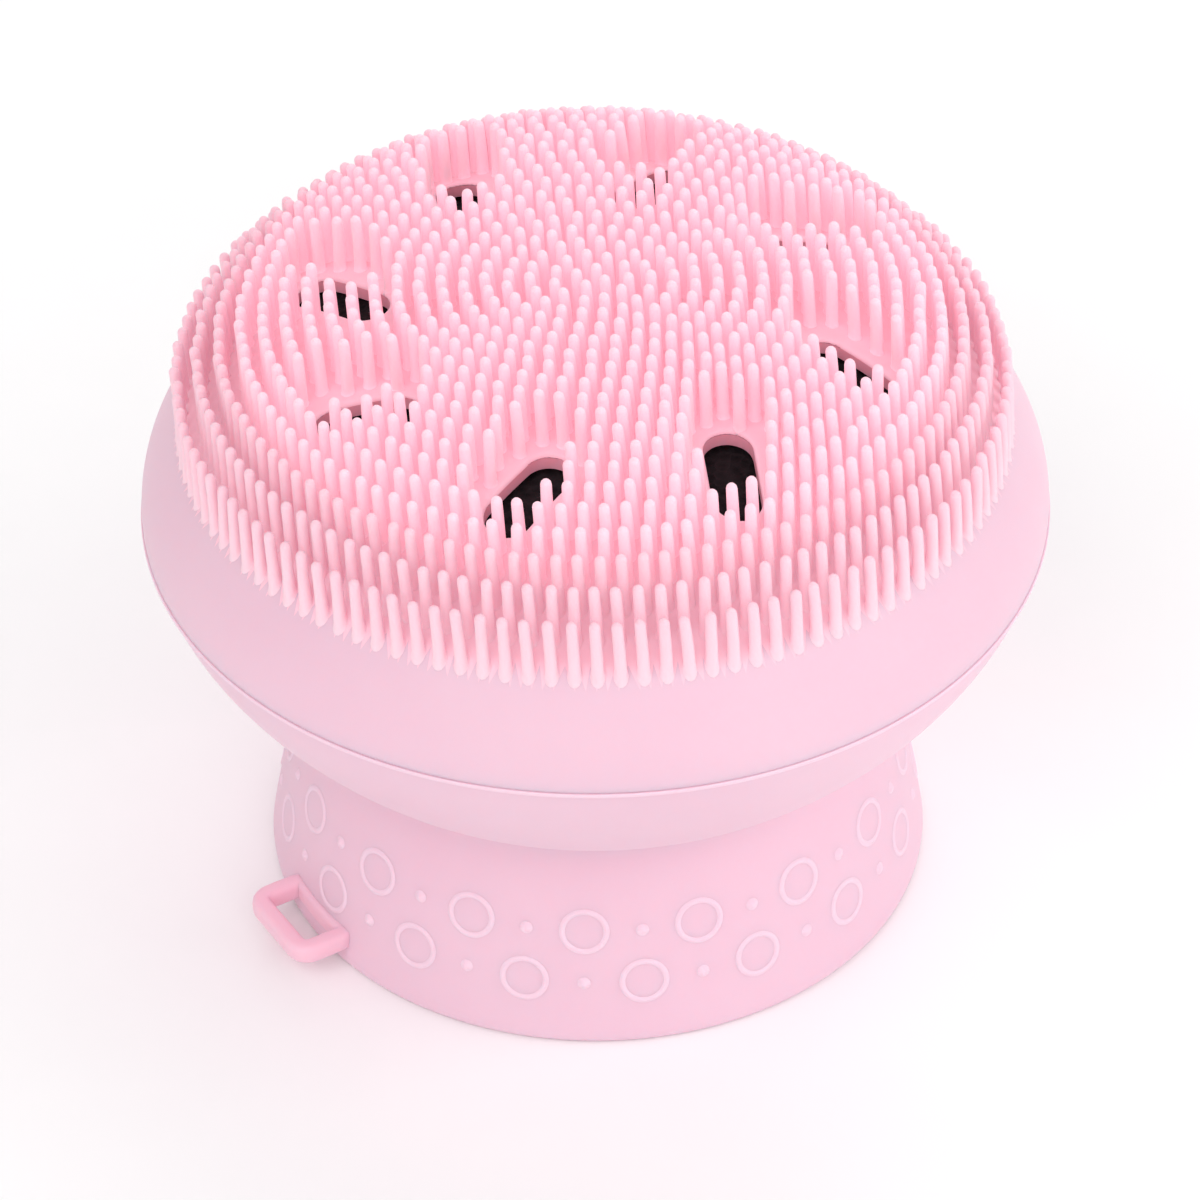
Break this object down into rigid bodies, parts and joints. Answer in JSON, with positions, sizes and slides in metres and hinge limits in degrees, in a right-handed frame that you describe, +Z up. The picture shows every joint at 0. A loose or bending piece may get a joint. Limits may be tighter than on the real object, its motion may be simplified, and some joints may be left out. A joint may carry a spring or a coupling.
{
  "type": "facial cleansing brush",
  "caption": "Waisted hand-held facial cleansing brush: domed field of soft bristles with foam slots over an inner sponge, on a suction foot with a hanging eye.",
  "frame": {"origin": "centre of the suction foot's underside, on the surface that the brush stands on", "axes": "+Z up the brush's axis to the bristle tips, -Y the front that is seen first, the hanging eye at 211 degrees round from +X"},
  "size_m": [0.0652, 0.0652, 0.0511],
  "materials": {
    "face_silicone": "smooth satin, deeper pink where it is shaded between the bristles",
    "bristle_silicone": "smooth satin, slightly translucent",
    "shell_silicone": "smooth matte satin, slightly translucent",
    "eye_silicone": "smooth satin",
    "sponge_foam": "open-cell foam, matte"
  },
  "bodies": {
    "base": {"lower_bowl": "shell_silicone", "suction_foot": "shell_silicone", "hang_loop": "eye_silicone", "sucker_rings": "shell_silicone", "sucker_dots": "shell_silicone"},
    "sponge": {"foam_sponge": "sponge_foam"},
    "cap": {"cap_wall": "shell_silicone"},
    "face": {"face_plate": "face_silicone", "bristle_ring_01": "bristle_silicone", "bristle_ring_02": "bristle_silicone", "bristle_ring_03": "bristle_silicone", "bristle_ring_04": "bristle_silicone", "bristle_ring_05": "bristle_silicone", "bristle_ring_06": "bristle_silicone", "bristle_ring_07": "bristle_silicone", "bristle_ring_08": "bristle_silicone", "bristle_ring_09": "bristle_silicone", "bristle_ring_10": "bristle_silicone", "bristle_ring_11": "bristle_silicone", "bristle_ring_12": "bristle_silicone", "bristle_ring_13": "bristle_silicone", "bristle_ring_14": "bristle_silicone", "bristle_ring_15": "bristle_silicone", "bristle_ring_16": "bristle_silicone", "bristle_ring_17": "bristle_silicone", "bristle_ring_18": "bristle_silicone", "bristle_ring_19": "bristle_silicone"}
  },
  "joints": [
    {"name": "cap_lift", "type": "slide", "parent": "base", "child": "cap", "axis": [0, 0, 1], "range_m": [0, 0.045]},
    {"name": "face_press", "type": "slide", "parent": "cap", "child": "face", "axis": [0, 0, -1], "range_m": [0, 0.003], "stiffness_N_per_m": 1500, "deforming": ["foam_sponge"]},
    {"name": "sponge_lift", "type": "slide", "parent": "base", "child": "sponge", "axis": [0, 0, 1], "range_m": [0, 0.0225]}
  ],
  "couplings": [
    {"joint": "sponge_lift", "follows": "cap_lift", "ratio": 0.5}
  ]
}
